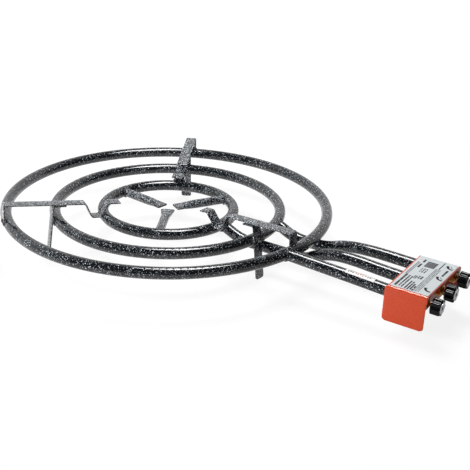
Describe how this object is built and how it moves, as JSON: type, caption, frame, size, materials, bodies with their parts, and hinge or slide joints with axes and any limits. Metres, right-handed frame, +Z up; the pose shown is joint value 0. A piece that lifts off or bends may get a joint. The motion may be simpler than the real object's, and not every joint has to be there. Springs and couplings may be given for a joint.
{
  "type": "paella burner",
  "caption": "Ring gas burner for paella pans: concentric enamelled tube rings, bent pan supports with legs, feed tubes and push-and-turn taps under an orange cover.",
  "frame": {"origin": "middle of the bounding box's base, on the floor", "axes": "+X towards the knobs, +Z up, +Y towards the gas inlet side"},
  "size_m": [0.8538, 0.6, 0.1073],
  "materials": {
    "black_enamel": "glossy black enamel with white speckles",
    "orange_powder_coat": "satin orange powder coat",
    "label": "satin light grey foil",
    "sticker": "matt white foil",
    "brass": "turned brass",
    "steel": "zinc plated steel",
    "knob_plastic": "glossy black plastic"
  },
  "bodies": {
    "burner": {"outer_ring_tube": "black_enamel", "middle_ring_tube": "black_enamel", "inner_ring_tube": "black_enamel", "outer_feed_tube": "black_enamel", "inner_feed_tube": "black_enamel", "middle_feed_tube": "black_enamel", "spoke_1": "black_enamel", "spoke_2": "black_enamel", "spoke_3": "black_enamel", "pan_support_1": "black_enamel", "pan_support_2": "black_enamel", "pan_support_3": "black_enamel", "leg_1": "black_enamel", "leg_2": "black_enamel", "leg_3": "black_enamel", "tap_cover": "orange_powder_coat", "label_plate": "label", "tap_frame": "orange_powder_coat", "gas_rail": "steel", "rail_end_plug": "steel", "gas_inlet": "brass", "injector_1": "brass", "injector_2": "brass", "injector_3": "brass", "tap_body_1": "brass", "tap_body_2": "brass", "tap_body_3": "brass", "gland_nut_1": "brass", "gland_nut_2": "brass", "gland_nut_3": "brass", "return_spring_1": "steel", "return_spring_2": "steel", "return_spring_3": "steel", "tube_sticker": "sticker"},
    "push_stem_1": {"push_collar_1": "steel"},
    "push_stem_2": {"push_collar_2": "steel"},
    "push_stem_3": {"push_collar_3": "steel"},
    "tap_knob_1": {"spindle_1": "brass", "knob_1": "knob_plastic"},
    "tap_knob_2": {"spindle_2": "brass", "knob_2": "knob_plastic"},
    "tap_knob_3": {"spindle_3": "brass", "knob_3": "knob_plastic"}
  },
  "joints": [
    {"name": "tap_1_push", "type": "slide", "parent": "burner", "child": "push_stem_1", "axis": [-0.9995, 0, 0.0314], "range_m": [0, 0.003], "stiffness_N_per_m": 600, "springref_m": -0.002, "deforming": ["return_spring_1"]},
    {"name": "tap_2_push", "type": "slide", "parent": "burner", "child": "push_stem_2", "axis": [-0.9995, 0, 0.0314], "range_m": [0, 0.003], "stiffness_N_per_m": 600, "springref_m": -0.002, "deforming": ["return_spring_2"]},
    {"name": "tap_3_push", "type": "slide", "parent": "burner", "child": "push_stem_3", "axis": [-0.9995, 0, 0.0314], "range_m": [0, 0.003], "stiffness_N_per_m": 600, "springref_m": -0.002, "deforming": ["return_spring_3"]},
    {"name": "tap_1_turn", "type": "hinge", "parent": "push_stem_1", "child": "tap_knob_1", "pos_m": [0.41978, -0.056, 0.06044], "axis": [0.9995, 0, -0.0314], "range_deg": [0, 180]},
    {"name": "tap_2_turn", "type": "hinge", "parent": "push_stem_2", "child": "tap_knob_2", "pos_m": [0.41978, 0, 0.06044], "axis": [0.9995, 0, -0.0314], "range_deg": [0, 180]},
    {"name": "tap_3_turn", "type": "hinge", "parent": "push_stem_3", "child": "tap_knob_3", "pos_m": [0.41978, 0.056, 0.06044], "axis": [0.9995, 0, -0.0314], "range_deg": [0, 180]}
  ]
}
